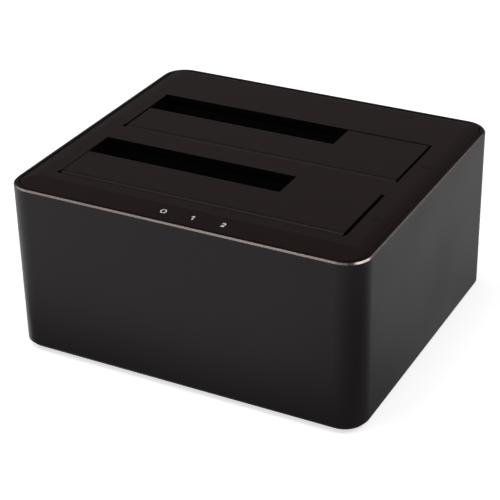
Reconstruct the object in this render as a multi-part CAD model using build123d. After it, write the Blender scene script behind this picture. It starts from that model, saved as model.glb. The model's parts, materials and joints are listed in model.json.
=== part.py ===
from build123d import *
import math
import os

# Free-standing dock with two drive bays. Millimetres, +X right, +Y back, +Z up.
# The origin is on the standing surface, under the middle of the sleeve.

# Standard sizes that the dock is made to fit
drive_width = 101.6
drive_thickness = 26.1
small_drive_width = 69.85
small_drive_thickness = 12.5
drive_edge_to_socket = 30.1
drive_back_to_tongue = 3.5

# Shared values
overrun = 3.0
fit_gap = 0.2
running_gap = 0.05
seat_gap = 0.02

# Sleeve
shell_width = 127.5
shell_height = 59.5
shell_wall = 2.5
corner_radius = 8.5
rim_chamfer = 0.5
rim_fall = 0.2
rim_land = 0.15
rim_wall = 1.7
rebate_depth = 2.4
foot_edge_chamfer = 0.3

# Base tray
foot_radius = 4.5
foot_thickness = 1.8
foot_recess = 0.8
foot_inset_x = 17.0
foot_inset_y = 15.0
foot_edge_round = 0.5
lip_thickness = 1.0
lip_inset = 1.2
tray_floor = 2.0
tray_wall = 1.6
tray_wall_height = 5.0
vent_count = 9
vent_width = 2.0
vent_length = 26.0
vent_pitch = 6.0
label_width = 52.0
label_depth = 20.0
label_recess = 0.4

# Case posts and screws
post_inset = 8.0
post_radius = 2.8
tower_radius = 3.4
tower_height = 8.0
screw_radius = 1.5
screw_length = 10.0
screw_head_radius = 2.7
screw_head_height = 2.0
screw_recess_share = 0.6
tower_seat_height = 5.0

# Top panel
panel_gap = 0.35
plateau_rise = 0.6
edge_drop = 0.9
crease_from_face = 10.1
side_roll = 4.9
rear_roll = 3.0
skirt_wall = 0.8
skirt_depth = 3.0
relief_radius = 0.7
ring_mark_outer = 1.3
ring_mark_inner = 0.95
ring_mark_depth = 0.15
ring_mark_from_side = 7.5
ring_mark_share = 0.47

# Bays
opening_side_gap = 1.1
door_left_gap = 0.75
door_right_gap = 1.0
door_front_gap = 0.3
door_back_gap = 0.6
opening_spare = 0.6
front_strip = 14.5
web_between_openings = 10.0
rear_strip = 26.5
slot_extra_width = 2.95
slot_extra_depth = 0.6

# Doors
nose_radius = 2.0
door_plate = 2.2
door_skirt = 1.0
door_rib_count = 3
front_door_rise = 0.35
rear_door_rise = -0.05
stop_reach = 0.9
stop_gap = 0.1
stop_thickness = 1.2
stop_from_axis = 3.0
stop_length = 3.0
stop_web = 1.6

# Hinge pins and springs
pin_radius = 0.75
pin_end_depth = 3.8
pin_end_gap = 0.2
pin_throat = 1.3
spring_wire = 0.35
spring_slack = 0.15
spring_length = 3.5
spring_from_end = 5.0
spring_pocket_gap = 0.15
fixed_leg = 3.5
spring_rib_width = 1.2
spring_rib_length = 4.0

# Drive cages
cage_wall = 1.6
cage_slack = 0.3
cage_front_slack = 1.2
cage_floor_height = 9.8
cage_ear_width = 10.0
cage_ear_reach = 5.6
cage_boss_radius = 2.75
cage_screw_from_wall = 3.75
swing_clearance = 0.5

# Main board
board_thickness = 1.6
board_lift = 4.0
board_width = 100.0
board_gap = 0.6
standoff_radius = 2.5
board_screw_inset_x = 8.0
board_screw_inset_y = 3.9
small_screw_radius = 1.1
small_screw_length = 5.0
small_screw_head_radius = 2.0
small_screw_head_height = 1.2

# Drive sockets
socket_width = 38.5
socket_depth = 6.2
socket_height = 10.0
socket_slot_height = 6.0
socket_slot_depth = 1.6
signal_slot = 10.4
power_slot = 20.6
slot_spacer = 2.4
slot_hook = 1.3
slot_hook_reach = 1.2
signal_contacts = 7
power_contacts = 15
contact_pitch = 1.27
contact_width = 0.6
contact_thickness = 0.25
contact_below_rim = 1.0
guide_post_width = 1.4
guide_post_height = 1.6
socket_window_gap = 0.6

# Square data port
port_width = 12.1
port_height = 12.9
port_depth = 18.0
port_sheet = 0.3
port_x = 24.0
port_cut_gap = 0.3
port_block_depth = 8.0
port_tongue_width = 8.0
port_tongue_height = 3.2
port_tongue_share = 0.38
port_top_width = 5.6
port_top_height = 1.9
port_top_share = 0.78
port_tongue_length = 8.6
port_contact_length = 6.5
port_contact_thickness = 0.2
port_contact_width = 0.7
port_contact_pitch = 1.6
port_top_contacts = 5
port_top_pitch = 0.9
port_top_contact_width = 0.45

# Power jack
jack_x = 2.0
jack_width = 9.0
jack_height = 11.0
jack_depth = 13.4
jack_nose_radius = 3.9
jack_bore_radius = 3.0
jack_bore_depth = 10.0
jack_pin_radius = 1.05
jack_pin_length = 9.0
jack_cut_gap = 0.3
jack_tail_width = 2.0
jack_tail_thickness = 0.6
jack_tail_length = 3.2
jack_tail_gap = 0.3

# Power switch
switch_x = -27.0
switch_above_capacitors = 2.25
switch_cut_width = 8.8
switch_cut_height = 13.5
bezel_width = 10.5
bezel_height = 15.0
bezel_thickness = 0.9
switch_body_depth = 13.0
switch_body_gap = 0.1
rocker_width = 6.9
rocker_half_height = 5.4
rocker_face = 3.2
rocker_tip_rise = 0.85
rocker_heel = 2.2
rocker_axis_depth = 3.4
rocker_tilt = 9.0
rocker_side_gap = 0.2
rocker_end_gap = 0.85
rocker_pocket_gap = 0.6
rocker_stub_radius = 1.0
rocker_stub_length = 0.7
terminal_width = 2.8
terminal_thickness = 0.8
terminal_length = 4.5
terminal_pitch = 6.0
lead_radius = 0.7
lead_bend = 2.5
lead_run = 1.0

# Indicators
first_mark_x = -6.8
mark_pitch = 10.7
mark_from_skirt = 1.1
guide_radius = 1.55
guide_gap = 0.05
lamp_gap = 0.3
lamp_length = 1.6
lamp_width = 0.8
lamp_height = 0.7
ring_outer = 1.1
ring_inner = 0.68
ring_bridge = 0.22
numeral_height = 2.15
numeral_width = 1.4
numeral_stroke = 0.42

# Board parts
controller_x = 34.0
controller_y = 3.0
controller_size = 14.0
controller_height = 1.2
controller_leads = 16
lead_pitch = 0.8
lead_width = 0.3
lead_reach = 1.0
lead_thickness = 0.2
chip_stand_off = 0.1
flash_x = 16.0
flash_y = -5.9
flash_leads = 4
flash_length = 5.0
flash_width = 4.0
flash_height = 1.5
regulator_x = 40.0
regulator_y = 30.0
regulator_pitch = 10.0
regulator_size = 6.0
regulator_height = 1.5
regulator_count = 2
capacitor_x = -36.0
capacitor_from_back = 10.4
capacitor_radius = 3.15
capacitor_height = 5.8
capacitor_base = 6.6
capacitor_base_height = 1.0
capacitor_count = 4
capacitor_pitch = 8.5
inductor_x = -44.0
inductor_from_back = 18.5
inductor_pitch = 9.0
inductor_size = 7.0
inductor_height = 4.0
inductor_count = 2
crystal_x = 34.0
crystal_y = -9.0
crystal_length = 5.0
crystal_width = 3.2
crystal_height = 0.9

# Derived sizes: heights
shell_bottom = foot_thickness - foot_recess + lip_thickness
tray_bottom = shell_bottom - lip_thickness
floor_top = tray_bottom + tray_floor
rim_top = shell_bottom + shell_height
ledge_z = rim_top - rebate_depth
plateau_top = rim_top + plateau_rise
edge_top = plateau_top - edge_drop
tower_top = tray_bottom + tower_height
board_bottom = floor_top + board_lift
board_top = board_bottom + board_thickness
cage_floor_top = floor_top + cage_floor_height
cage_floor_bottom = cage_floor_top - cage_wall

# Derived sizes: plan
opening_width = drive_width + opening_side_gap + opening_side_gap
opening_depth = door_front_gap + nose_radius + nose_radius + drive_thickness + opening_spare
shell_depth = front_strip + opening_depth + web_between_openings + opening_depth + rear_strip
half_width = shell_width / 2
half_depth = shell_depth / 2
inner_half_depth = half_depth - shell_wall
opening_left = -opening_width / 2
opening_right = opening_width / 2
slot_width = small_drive_width + slot_extra_width
slot_depth = small_drive_thickness + slot_extra_depth
bay_pitch = opening_depth + web_between_openings
front_opening = -half_depth + front_strip
bay_fronts = {"front": front_opening, "rear": front_opening + bay_pitch}
door_rises = {"front": front_door_rise, "rear": rear_door_rise}
spring_inner_radius = pin_radius + spring_slack
lowest_axis_z = plateau_top + min(door_rises.values()) - nose_radius
cage_top = lowest_axis_z - spring_inner_radius - spring_wire - fit_gap
tray_half_depth = inner_half_depth - fit_gap - tray_wall
board_half_depth = tray_half_depth - board_gap
socket_x = opening_left + opening_side_gap + drive_edge_to_socket
post_places = [
    (sx * (half_width - post_inset), sy * (half_depth - post_inset))
    for sx in (-1, 1)
    for sy in (-1, 1)
]
foot_places = {
    "front_left": (-half_width + foot_inset_x, -half_depth + foot_inset_y),
    "front_right": (half_width - foot_inset_x, -half_depth + foot_inset_y),
    "rear_left": (-half_width + foot_inset_x, half_depth - foot_inset_y),
    "rear_right": (half_width - foot_inset_x, half_depth - foot_inset_y),
}
board_screw_places = [
    (sx * (board_width / 2 - board_screw_inset_x), sy * (board_half_depth - board_screw_inset_y))
    for sx in (-1, 1)
    for sy in (-1, 1)
]
cage_outer = opening_right + cage_slack + cage_wall
cage_screw_x = cage_outer + cage_screw_from_wall
cage_screw_places = [
    (sx * cage_screw_x, bay_fronts[bay] + opening_depth / 2) for bay in bay_fronts for sx in (-1, 1)
]
jack_axis_z = board_top + jack_height / 2
switch_z = board_top + capacitor_height + switch_above_capacitors + switch_cut_height / 2
rocker_axis_y = half_depth - rocker_axis_depth
capacitor_y = half_depth - capacitor_from_back
inductor_y = half_depth - inductor_from_back
mark_y = -inner_half_depth + fit_gap + skirt_wall + mark_from_skirt + guide_radius
mark_names = ("power", "bay_1", "bay_2")
mark_places = [first_mark_x + k * mark_pitch for k in range(len(mark_names))]


# Helpers
def block(x0, x1, y0, y1, z0, z1):
    """A box between two corners."""
    middle = Pos((x0 + x1) / 2, (y0 + y1) / 2, (z0 + z1) / 2)
    return middle * Box(x1 - x0, y1 - y0, z1 - z0)


def slab(x, y, width, depth, z0, z1):
    """A box of one width and depth, centred on x and y."""
    return Pos(x, y, (z0 + z1) / 2) * Box(width, depth, z1 - z0)


def bar(reach_x, reach_y, reach_z):
    """A box between two values on each axis, given in either order."""
    (x0, x1), (y0, y1), (z0, z1) = sorted(reach_x), sorted(reach_y), sorted(reach_z)
    return block(x0, x1, y0, y1, z0, z1)


def post(x, y, radius, z0, z1):
    """An upright cylinder."""
    return Pos(x, y, (z0 + z1) / 2) * Cylinder(radius, z1 - z0)


def rod_x(y, z, radius, x0, x1):
    """A cylinder along X."""
    return Pos((x0 + x1) / 2, y, z) * Rot(0, 90, 0) * Cylinder(radius, x1 - x0)


def rod_y(x, z, radius, y0, y1):
    """A cylinder along Y."""
    return Pos(x, (y0 + y1) / 2, z) * Rot(90, 0, 0) * Cylinder(radius, y1 - y0)


def plan_prism(inset, z0, z1):
    """The sleeve's outline, drawn in by inset and raised from z0 to z1."""
    width = shell_width - inset - inset
    depth = shell_depth - inset - inset
    outline = RectangleRounded(width, depth, corner_radius - inset)
    return extrude(Pos(0, 0, z0) * outline, z1 - z0)


def write(name, pieces):
    """Writes one node from one solid or a list of separate solids."""
    found = []
    for piece in pieces if isinstance(pieces, list) else [pieces]:
        found.extend(piece.solids())
    shape = found[0] if len(found) == 1 else Compound(found)
    shape.label = name
    export_step(shape, "parts/" + name + ".step")
    print(name, len(found), round(sum(solid.volume for solid in found), 1))


# Casing
def outer_shell():
    """The sleeve: open at both ends, with a rebate for the panel and cut-outs at the back."""
    sleeve = plan_prism(0, shell_bottom, rim_top)
    chamfer_width = rim_chamfer + rim_fall
    sleeve = chamfer(sleeve.edges().group_by(Axis.Z)[-1], chamfer_width)
    top = sleeve.faces().sort_by(Axis.Z)[-1]
    fall_run = rim_wall - rim_land - chamfer_width
    sleeve = chamfer(top.edges(), fall_run, math.hypot(rim_fall, rim_fall), reference=top)
    bottom_edges = sleeve.edges().group_by(Axis.Z)[0]
    sleeve = chamfer(bottom_edges, foot_edge_chamfer)
    sleeve = sleeve - plan_prism(shell_wall, shell_bottom - overrun, rim_top + overrun)
    sleeve = sleeve - plan_prism(rim_wall, ledge_z, rim_top + overrun)
    wall_y0 = half_depth - shell_wall - overrun
    wall_y1 = half_depth + overrun
    port_half = port_width / 2 + port_cut_gap
    port_cut = block(
        port_x - port_half,
        port_x + port_half,
        wall_y0,
        wall_y1,
        board_top - port_cut_gap,
        board_top + port_height + port_cut_gap,
    )
    jack_cut = rod_y(jack_x, jack_axis_z, jack_nose_radius + jack_cut_gap, wall_y0, wall_y1)
    switch_cut = block(
        switch_x - switch_cut_width / 2,
        switch_x + switch_cut_width / 2,
        wall_y0,
        wall_y1,
        switch_z - switch_cut_height / 2,
        switch_z + switch_cut_height / 2,
    )
    return sleeve - port_cut - jack_cut - switch_cut


def panel_blank(z0):
    """The panel's outside: its outline cut by the front bevel and the rolled sides and back."""
    inset = rim_wall + panel_gap
    plan = plan_prism(inset, z0, plateau_top + overrun)
    edge_x = half_width - inset
    edge_y = half_depth - inset
    flat_x = edge_x - side_roll
    across = Line((-edge_x, z0), (edge_x, z0))
    across += Line((edge_x, z0), (edge_x, edge_top))
    across += TangentArc((flat_x, plateau_top), (edge_x, edge_top), tangent=(1, 0))
    across += Line((flat_x, plateau_top), (-flat_x, plateau_top))
    across += TangentArc((-flat_x, plateau_top), (-edge_x, edge_top), tangent=(-1, 0))
    across += Line((-edge_x, edge_top), (-edge_x, z0))
    across_face = Plane.XZ * make_face(across)
    side_profile = extrude(across_face, half_depth, both=True)
    crease_y = -half_depth + crease_from_face
    flat_y = edge_y - rear_roll
    along = Line((-edge_y, z0), (edge_y, z0))
    along += Line((edge_y, z0), (edge_y, edge_top))
    along += TangentArc((flat_y, plateau_top), (edge_y, edge_top), tangent=(1, 0))
    along += Line((flat_y, plateau_top), (crease_y, plateau_top))
    along += Line((crease_y, plateau_top), (-edge_y, edge_top))
    along += Line((-edge_y, edge_top), (-edge_y, z0))
    along_face = Plane.YZ * make_face(along)
    front_profile = extrude(along_face, half_width, both=True)
    return plan & side_profile & front_profile


def hinge_axis(bay):
    """The y and z of a door's hinge axis."""
    axis_y = bay_fronts[bay] + door_front_gap + nose_radius
    axis_z = plateau_top + door_rises[bay] - nose_radius
    return axis_y, axis_z


def pin_seats(bay):
    """The two blind bearings of a pin, each open below through a throat."""
    axis_y, axis_z = hinge_axis(bay)
    reach = pin_end_depth + pin_end_gap
    cuts = []
    left = (opening_left - reach, opening_left + overrun)
    right = (opening_right - overrun, opening_right + reach)
    for x0, x1 in (left, right):
        cuts.append(rod_x(axis_y, axis_z, pin_radius + seat_gap, x0, x1))
        throat = pin_throat / 2
        cuts.append(block(x0, x1, axis_y - throat, axis_y + throat, ledge_z - overrun, axis_z))
    return cuts


def spring_place(bay):
    """Where a spring's coil starts and ends along its pin."""
    x0 = opening_left + door_left_gap + spring_from_end
    return x0, x0 + spring_length


def fixed_leg_groove(bay):
    """The groove under the panel that a spring's fixed leg bears in."""
    axis_y, axis_z = hinge_axis(bay)
    x0 = spring_place(bay)[0]
    groove_top = max(axis_z - spring_inner_radius, ledge_z) + seat_gap
    front = bay_fronts[bay]
    return block(
        x0 - spring_wire,
        x0 + spring_wire + spring_wire,
        front - fixed_leg,
        front + overrun,
        ledge_z - overrun,
        groove_top,
    )


def mark_glyphs():
    """The plan outlines of the three marks: a ring in two halves and the numerals 1 and 2."""
    ring = Circle(ring_outer) - Circle(ring_inner) - Rectangle(ring_bridge, overrun + overrun)
    half = numeral_height / 2
    stroke = numeral_stroke
    width = numeral_width
    one = Rectangle(stroke, numeral_height)
    flag = Pos(-stroke, half - stroke) * Rot(0, 0, 45) * Rectangle(width / 2, stroke)
    one = one + flag
    bowl_radius = width / 2
    bowl_y = half - bowl_radius
    bowl = Pos(0, bowl_y) * (Circle(bowl_radius) - Circle(bowl_radius - stroke))
    bowl = bowl - Pos(-bowl_radius, bowl_y - bowl_radius) * Rectangle(width, width)
    foot = Pos(0, -half + stroke / 2) * Rectangle(width, stroke)
    slope_start = (-bowl_radius + stroke / 2, -half + stroke / 2)
    slope_end = (bowl_radius - stroke, bowl_y - bowl_radius + stroke)
    slope_run = math.dist(slope_start, slope_end) + stroke
    slope_angle = math.degrees(math.atan2(slope_end[1] - slope_start[1], slope_end[0] - slope_start[0]))
    middle = Pos((slope_start[0] + slope_end[0]) / 2, (slope_start[1] + slope_end[1]) / 2)
    slope = middle * Rot(0, 0, slope_angle) * Rectangle(slope_run, stroke)
    two = bowl + foot + slope
    two = two & Rectangle(width, numeral_height)
    return [ring, one, two]


def top_panel():
    """The panel with its openings, hinge seats, marks, skirt and four posts."""
    panel = panel_blank(ledge_z)
    skirt_inset = shell_wall + fit_gap
    skirt = plan_prism(skirt_inset, ledge_z - skirt_depth, ledge_z + rebate_depth / 2)
    skirt = skirt - plan_prism(skirt_inset + skirt_wall, ledge_z - skirt_depth - overrun, ledge_z)
    panel = panel + skirt
    for x, y in post_places:
        panel = panel + post(x, y, post_radius, tower_top, ledge_z + rebate_depth / 2)
    for bay, front in bay_fronts.items():
        well_y = front + opening_depth / 2
        panel = panel - slab(0, well_y, opening_width, opening_depth, ledge_z - overrun, rim_top + overrun)
        for cut in pin_seats(bay):
            panel = panel - cut
        panel = panel - fixed_leg_groove(bay)
        relief_y = front + door_front_gap + relief_radius
        panel = panel - post(opening_left, relief_y, relief_radius, ledge_z - overrun, rim_top + overrun)
        ring_y = front + opening_depth * ring_mark_share
        ring_x = half_width - ring_mark_from_side
        ring = post(ring_x, ring_y, ring_mark_outer, plateau_top - ring_mark_depth, plateau_top + overrun)
        ring = ring - post(ring_x, ring_y, ring_mark_inner, ledge_z, plateau_top + overrun)
        panel = panel - ring
    for x, glyph in zip(mark_places, mark_glyphs()):
        hole = offset(glyph, guide_gap)
        panel = panel - extrude(Pos(x, mark_y, ledge_z - overrun) * hole, rebate_depth + overrun + overrun)
    for x, y in post_places:
        panel = panel - post(x, y, screw_radius + seat_gap, tower_top - overrun, tower_top + screw_length)
    return panel


def base_tray():
    """The tray that closes the sleeve below: floor, lip, wall, towers, standoffs and vents."""
    tray = plan_prism(lip_inset, tray_bottom, shell_bottom)
    inset = shell_wall + fit_gap
    wall_top = floor_top + tray_wall_height
    tray = tray + plan_prism(inset, tray_bottom, wall_top)
    tray = tray - plan_prism(inset + tray_wall, floor_top, wall_top + overrun)
    keep = plan_prism(inset, tray_bottom, rim_top)
    for x, y in post_places:
        tray = tray + (post(x, y, tower_radius, floor_top - tray_floor / 2, tower_top) & keep)
    for x, y in board_screw_places:
        tray = tray + post(x, y, standoff_radius, floor_top - tray_floor / 2, board_bottom)
    for x, y in cage_screw_places:
        tray = tray + post(x, y, cage_boss_radius, floor_top - tray_floor / 2, cage_floor_bottom)
    for x, y in foot_places.values():
        tray = tray - post(x, y, foot_radius + seat_gap, tray_bottom - overrun, tray_bottom + foot_recess)
    seat = tray_bottom + tower_seat_height
    for x, y in post_places:
        tray = tray - post(x, y, screw_head_radius + fit_gap, tray_bottom - overrun, seat)
        tray = tray - post(x, y, screw_radius + fit_gap, tray_bottom, tower_top + overrun)
    for x, y in board_screw_places:
        hole_bottom = board_bottom - small_screw_length + board_thickness
        tray = tray - post(x, y, small_screw_radius + seat_gap, hole_bottom, board_bottom + overrun)
    for x, y in cage_screw_places:
        hole_bottom = cage_floor_bottom - small_screw_length + cage_wall
        tray = tray - post(x, y, small_screw_radius + seat_gap, hole_bottom, cage_floor_bottom + overrun)
    first_vent = -(vent_count - 1) * vent_pitch / 2
    for side in (-1, 1):
        vent_y = side * (label_depth / 2 + vent_length / 2 + vent_pitch / 2)
        for k in range(vent_count):
            slot = Rot(0, 0, 90) * SlotOverall(vent_length, vent_width)
            place = Pos(first_vent + k * vent_pitch, vent_y, tray_bottom - overrun)
            tray = tray - extrude(place * slot, overrun + tray_floor + overrun)
    return tray - slab(0, 0, label_width, label_depth, tray_bottom - overrun, tray_bottom + label_recess)


def foot(place):
    """A rubber foot, glued in its recess."""
    x, y = foot_places[place]
    body = post(x, y, foot_radius, tray_bottom + foot_recess - foot_thickness, tray_bottom + foot_recess)
    bottom_edge = body.edges().group_by(Axis.Z)[0]
    return fillet(bottom_edge, foot_edge_round)


# Drive cages
def drive_cage(bay):
    """A well under one opening: four walls, a floor with the socket's window, and two screw ears."""
    front = bay_fronts[bay]
    y0 = front - cage_front_slack
    y1 = front + opening_depth + cage_slack
    x0 = opening_left - cage_slack
    x1 = opening_right + cage_slack
    wall = cage_wall
    cage = block(x0 - wall, x1 + wall, y0 - wall, y1 + wall, cage_floor_bottom, cage_top)
    middle_y = front + opening_depth / 2
    ear_y = (middle_y - cage_ear_width / 2, middle_y + cage_ear_width / 2)
    ear_z = (cage_floor_bottom, cage_floor_top)
    hole_radius = small_screw_radius + fit_gap
    for side in (-1, 1):
        near = side * cage_outer - side * wall / 2
        far = side * (cage_outer + cage_ear_reach)
        cage = cage + bar((near, far), ear_y, ear_z)
        cage = cage - post(side * cage_screw_x, middle_y, hole_radius, cage_floor_bottom - overrun, cage_top)
    cage = cage - block(x0, x1, y0, y1, cage_floor_top, cage_top + overrun)
    window_w = socket_width + socket_window_gap + socket_window_gap
    window_d = socket_depth + socket_window_gap + socket_window_gap
    window_z = (cage_floor_bottom - overrun, cage_floor_top + overrun)
    cage = cage - slab(socket_x, socket_middle_y(bay), window_w, window_d, *window_z)
    axis_y, axis_z = hinge_axis(bay)
    stop_end = stop_from_axis + stop_length
    swing = math.hypot(stop_end, axis_z - ledge_z + stop_gap + stop_thickness) + swing_clearance
    for wall_x in (x0 - wall / 2, x1 + wall / 2):
        reach_x = (wall_x - overrun, wall_x + overrun)
        cage = cage - bar(reach_x, (y0, axis_y + swing), (axis_z - swing, cage_top + overrun))
    return cage


def socket_middle_y(bay):
    """The y of a socket's slots, where the drive's connector tongue comes down."""
    back = bay_fronts[bay] + opening_depth
    return back - drive_back_to_tongue


# Doors
def door_outline(bay, inset):
    """The door's L, behind its hinge axis, drawn in by inset."""
    front = bay_fronts[bay]
    axis_y = hinge_axis(bay)[0]
    x0 = opening_left + door_left_gap + inset
    x1 = opening_right - door_right_gap - inset
    back = front + opening_depth - door_back_gap - inset
    slot_front = front + opening_depth - slot_depth - inset
    slot_right = opening_left + slot_width + inset
    start_y = axis_y + inset
    corners = [
        (x0, start_y),
        (x1, start_y),
        (x1, back),
        (slot_right, back),
        (slot_right, slot_front),
        (x0, slot_front),
    ]
    return make_face(Polyline(*corners, close=True))


def door(bay):
    """An L-shaped flap: a round nose on the pin, a plate, a skirt, ribs and two stops."""
    front = bay_fronts[bay]
    axis_y, axis_z = hinge_axis(bay)
    top = axis_z + nose_radius
    x0 = opening_left + door_left_gap
    x1 = opening_right - door_right_gap
    bottom = axis_z - nose_radius
    flap = extrude(Pos(0, 0, bottom) * door_outline(bay, 0), nose_radius + nose_radius)
    plate_bottom = top - door_plate
    inner = Pos(0, 0, bottom - overrun) * door_outline(bay, door_skirt)
    flap = flap - extrude(inner, plate_bottom - bottom + overrun)
    strip_back = front + opening_depth - slot_depth
    slot_right = opening_left + slot_width
    for k in range(door_rib_count):
        rib_x = x0 + (slot_right - x0) * (k + 1) / (door_rib_count + 1)
        rib_y = (axis_y + strip_back) / 2
        flap = flap + slab(rib_x, rib_y, door_skirt, strip_back - axis_y, bottom, top)
    flap = flap + rod_x(axis_y, axis_z, nose_radius, x0, x1)
    coil_x0, coil_x1 = spring_place(bay)
    leg_x = coil_x1 - spring_wire / 2
    rib_y0 = axis_y + nose_radius
    leg_top = axis_z - spring_inner_radius
    rib_y = rib_y0 + spring_rib_length / 2
    inside_plate = plate_bottom + door_plate / 2
    flap = flap + slab(leg_x, rib_y, spring_rib_width, spring_rib_length, leg_top + seat_gap, inside_plate)
    stop_top = ledge_z - stop_gap
    stop_y = (axis_y + stop_from_axis, axis_y + stop_from_axis + stop_length)
    for edge, side in ((x0, -1), (x1, 1)):
        opening_edge = opening_left if side < 0 else opening_right
        web_inner = edge - side * stop_web
        tip = opening_edge + side * stop_reach
        flap = flap + bar((edge, web_inner), stop_y, (stop_top - stop_thickness, inside_plate))
        flap = flap + bar((tip, web_inner), stop_y, (stop_top - stop_thickness, stop_top))
    pocket_radius = spring_inner_radius + spring_wire + spring_pocket_gap
    pocket_x0 = coil_x0 - spring_pocket_gap
    pocket_x1 = coil_x1 + spring_pocket_gap
    flap = flap - rod_x(axis_y, axis_z, pocket_radius, pocket_x0, pocket_x1)
    pocket_y = (axis_y - nose_radius - overrun, axis_y + pocket_radius)
    flap = flap - bar((pocket_x0, pocket_x1), pocket_y, (bottom - overrun, axis_z))
    leg_slot_x = (leg_x - spring_wire, leg_x + spring_wire)
    flap = flap - bar(leg_slot_x, (axis_y, rib_y0 + seat_gap), (bottom - overrun, leg_top + seat_gap))
    return flap - rod_x(axis_y, axis_z, pin_radius + running_gap, x0 - overrun, x1 + overrun)


def door_pin(bay):
    """The steel pin that a door turns on, snapped into the panel's seats."""
    axis_y, axis_z = hinge_axis(bay)
    return rod_x(axis_y, axis_z, pin_radius, opening_left - pin_end_depth, opening_right + pin_end_depth)


def door_spring(bay):
    """A torsion spring round the pin: its coil as a tube, with a leg to the panel and one to the door."""
    axis_y, axis_z = hinge_axis(bay)
    coil_x0, coil_x1 = spring_place(bay)
    coil = rod_x(axis_y, axis_z, spring_inner_radius + spring_wire, coil_x0, coil_x1)
    wire_radius = spring_wire / 2
    leg_z = axis_z - spring_inner_radius - wire_radius
    leg_front = bay_fronts[bay] - fixed_leg + fit_gap
    leg_back = axis_y + nose_radius + spring_rib_length
    coil = coil + rod_y(coil_x0 + wire_radius, leg_z, wire_radius, leg_front, axis_y)
    coil = coil + rod_y(coil_x1 - wire_radius, leg_z, wire_radius, axis_y, leg_back)
    return coil - rod_x(axis_y, axis_z, spring_inner_radius, coil_x0 - overrun, coil_x1 + overrun)


# Electronics
def main_board():
    """The circuit board, with its screw holes and the holes of the jack's tails."""
    half_w = board_width / 2
    board = block(-half_w, half_w, -board_half_depth, board_half_depth, board_bottom, board_top)
    for x, y in board_screw_places:
        board = board - post(x, y, small_screw_radius + fit_gap, board_bottom - overrun, board_top + overrun)
    tail_radius = jack_tail_width / 2 + jack_tail_gap
    for x, y in jack_tail_places():
        board = board - post(x, y, tail_radius, board_bottom - overrun, board_top + overrun)
    return board


def slot_runs():
    """The x ranges of a socket's signal slot and power slot, and the side of each one's hook."""
    whole = signal_slot + slot_spacer + power_slot
    x0 = socket_x - whole / 2
    return [(x0, x0 + signal_slot, 1), (x0 + signal_slot + slot_spacer, x0 + whole, -1)]


def contact_places():
    """The x of each contact blade, counted along the two slots."""
    places = []
    for (x0, x1, _), count in zip(slot_runs(), (signal_contacts, power_contacts)):
        middle = (x0 + x1) / 2
        places.extend(middle + (k - (count - 1) / 2) * contact_pitch for k in range(count))
    return places


def sata_socket(bay):
    """An upright drive socket: two keyed slots, a guide post at each end, a passage for each blade."""
    y = socket_middle_y(bay)
    top = board_top + socket_height
    half_w = socket_width / 2
    half_d = socket_depth / 2
    body = slab(socket_x, y, socket_width, socket_depth, board_top, top)
    for side in (-1, 1):
        guide_x = socket_x + side * (half_w - guide_post_width / 2)
        guide_top = top + guide_post_height
        body = body + slab(guide_x, y, guide_post_width, half_d, top - guide_post_height, guide_top)
    slot_half = socket_slot_depth / 2
    slot_bottom = top - socket_slot_height
    for x0, x1, hook_end in slot_runs():
        body = body - block(x0, x1, y - slot_half, y + slot_half, slot_bottom, top + overrun)
        hook_x = x0 if hook_end < 0 else x1 - slot_hook
        hook_y = (y - slot_half - slot_hook_reach, y + slot_half)
        body = body - bar((hook_x, hook_x + slot_hook), hook_y, (slot_bottom, top + overrun))
    passage_w = contact_width + seat_gap + seat_gap
    passage_d = contact_thickness + seat_gap
    passage_y = y + slot_half - passage_d / 2
    for x in contact_places():
        body = body - slab(x, passage_y, passage_w, passage_d, board_top - overrun, top)
    return body


def sata_contacts(bay):
    """The sprung blades of one socket, from the board up the back wall of its slots."""
    y = socket_middle_y(bay) + socket_slot_depth / 2 - seat_gap / 2 - contact_thickness / 2
    top = board_top + socket_height - contact_below_rim
    return [slab(x, y, contact_width, contact_thickness, board_top, top) for x in contact_places()]


def usb_port_shell():
    """The port's folded steel shell, open at the back of the dock."""
    front = half_depth - port_depth
    top = board_top + port_height
    inner = port_width / 2 - port_sheet
    shell = slab(port_x, front + port_depth / 2, port_width, port_depth, board_top, top)
    hollow_y = (front + port_sheet, half_depth + overrun)
    hollow_z = (board_top + port_sheet, top - port_sheet)
    return shell - bar((port_x - inner, port_x + inner), hollow_y, hollow_z)


def port_tongues():
    """The insulator's two tongues: half width, bottom and top of each."""
    main_z = board_top + port_height * port_tongue_share
    upper_z = board_top + port_height * port_top_share
    return [
        (port_tongue_width / 2, main_z - port_tongue_height / 2, main_z + port_tongue_height / 2),
        (port_top_width / 2, upper_z - port_top_height / 2, upper_z + port_top_height / 2),
    ]


def usb_port_insulator():
    """The port's black insulator: a block at the bottom of the shell and two tongues."""
    half = port_width / 2 - port_sheet - seat_gap
    y0 = half_depth - port_depth + port_sheet + seat_gap
    y1 = half_depth - port_depth + port_block_depth
    z0 = board_top + port_sheet + seat_gap
    z1 = board_top + port_height - port_sheet - seat_gap
    body = block(port_x - half, port_x + half, y0, y1, z0, z1)
    for half_w, low, high in port_tongues():
        body = body + block(port_x - half_w, port_x + half_w, y0, y1 + port_tongue_length, low, high)
    return body


def usb_contacts():
    """The port's gold strips: two pairs on the main tongue and five on the upper one."""
    (_, low, high), (_, _, upper_high) = port_tongues()
    y0 = half_depth - port_depth + port_block_depth
    y1 = y0 + port_contact_length
    strips = []
    thick = port_contact_thickness
    half = port_contact_width / 2
    for side in (-1, 1):
        x = port_x + side * port_contact_pitch
        strips.append(block(x - half, x + half, y0, y1, high, high + thick))
        strips.append(block(x - half, x + half, y0, y1, low - thick, low))
    half = port_top_contact_width / 2
    for k in range(port_top_contacts):
        x = port_x + (k - (port_top_contacts - 1) / 2) * port_top_pitch
        strips.append(block(x - half, x + half, y0, y1, upper_high, upper_high + thick))
    return strips


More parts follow.
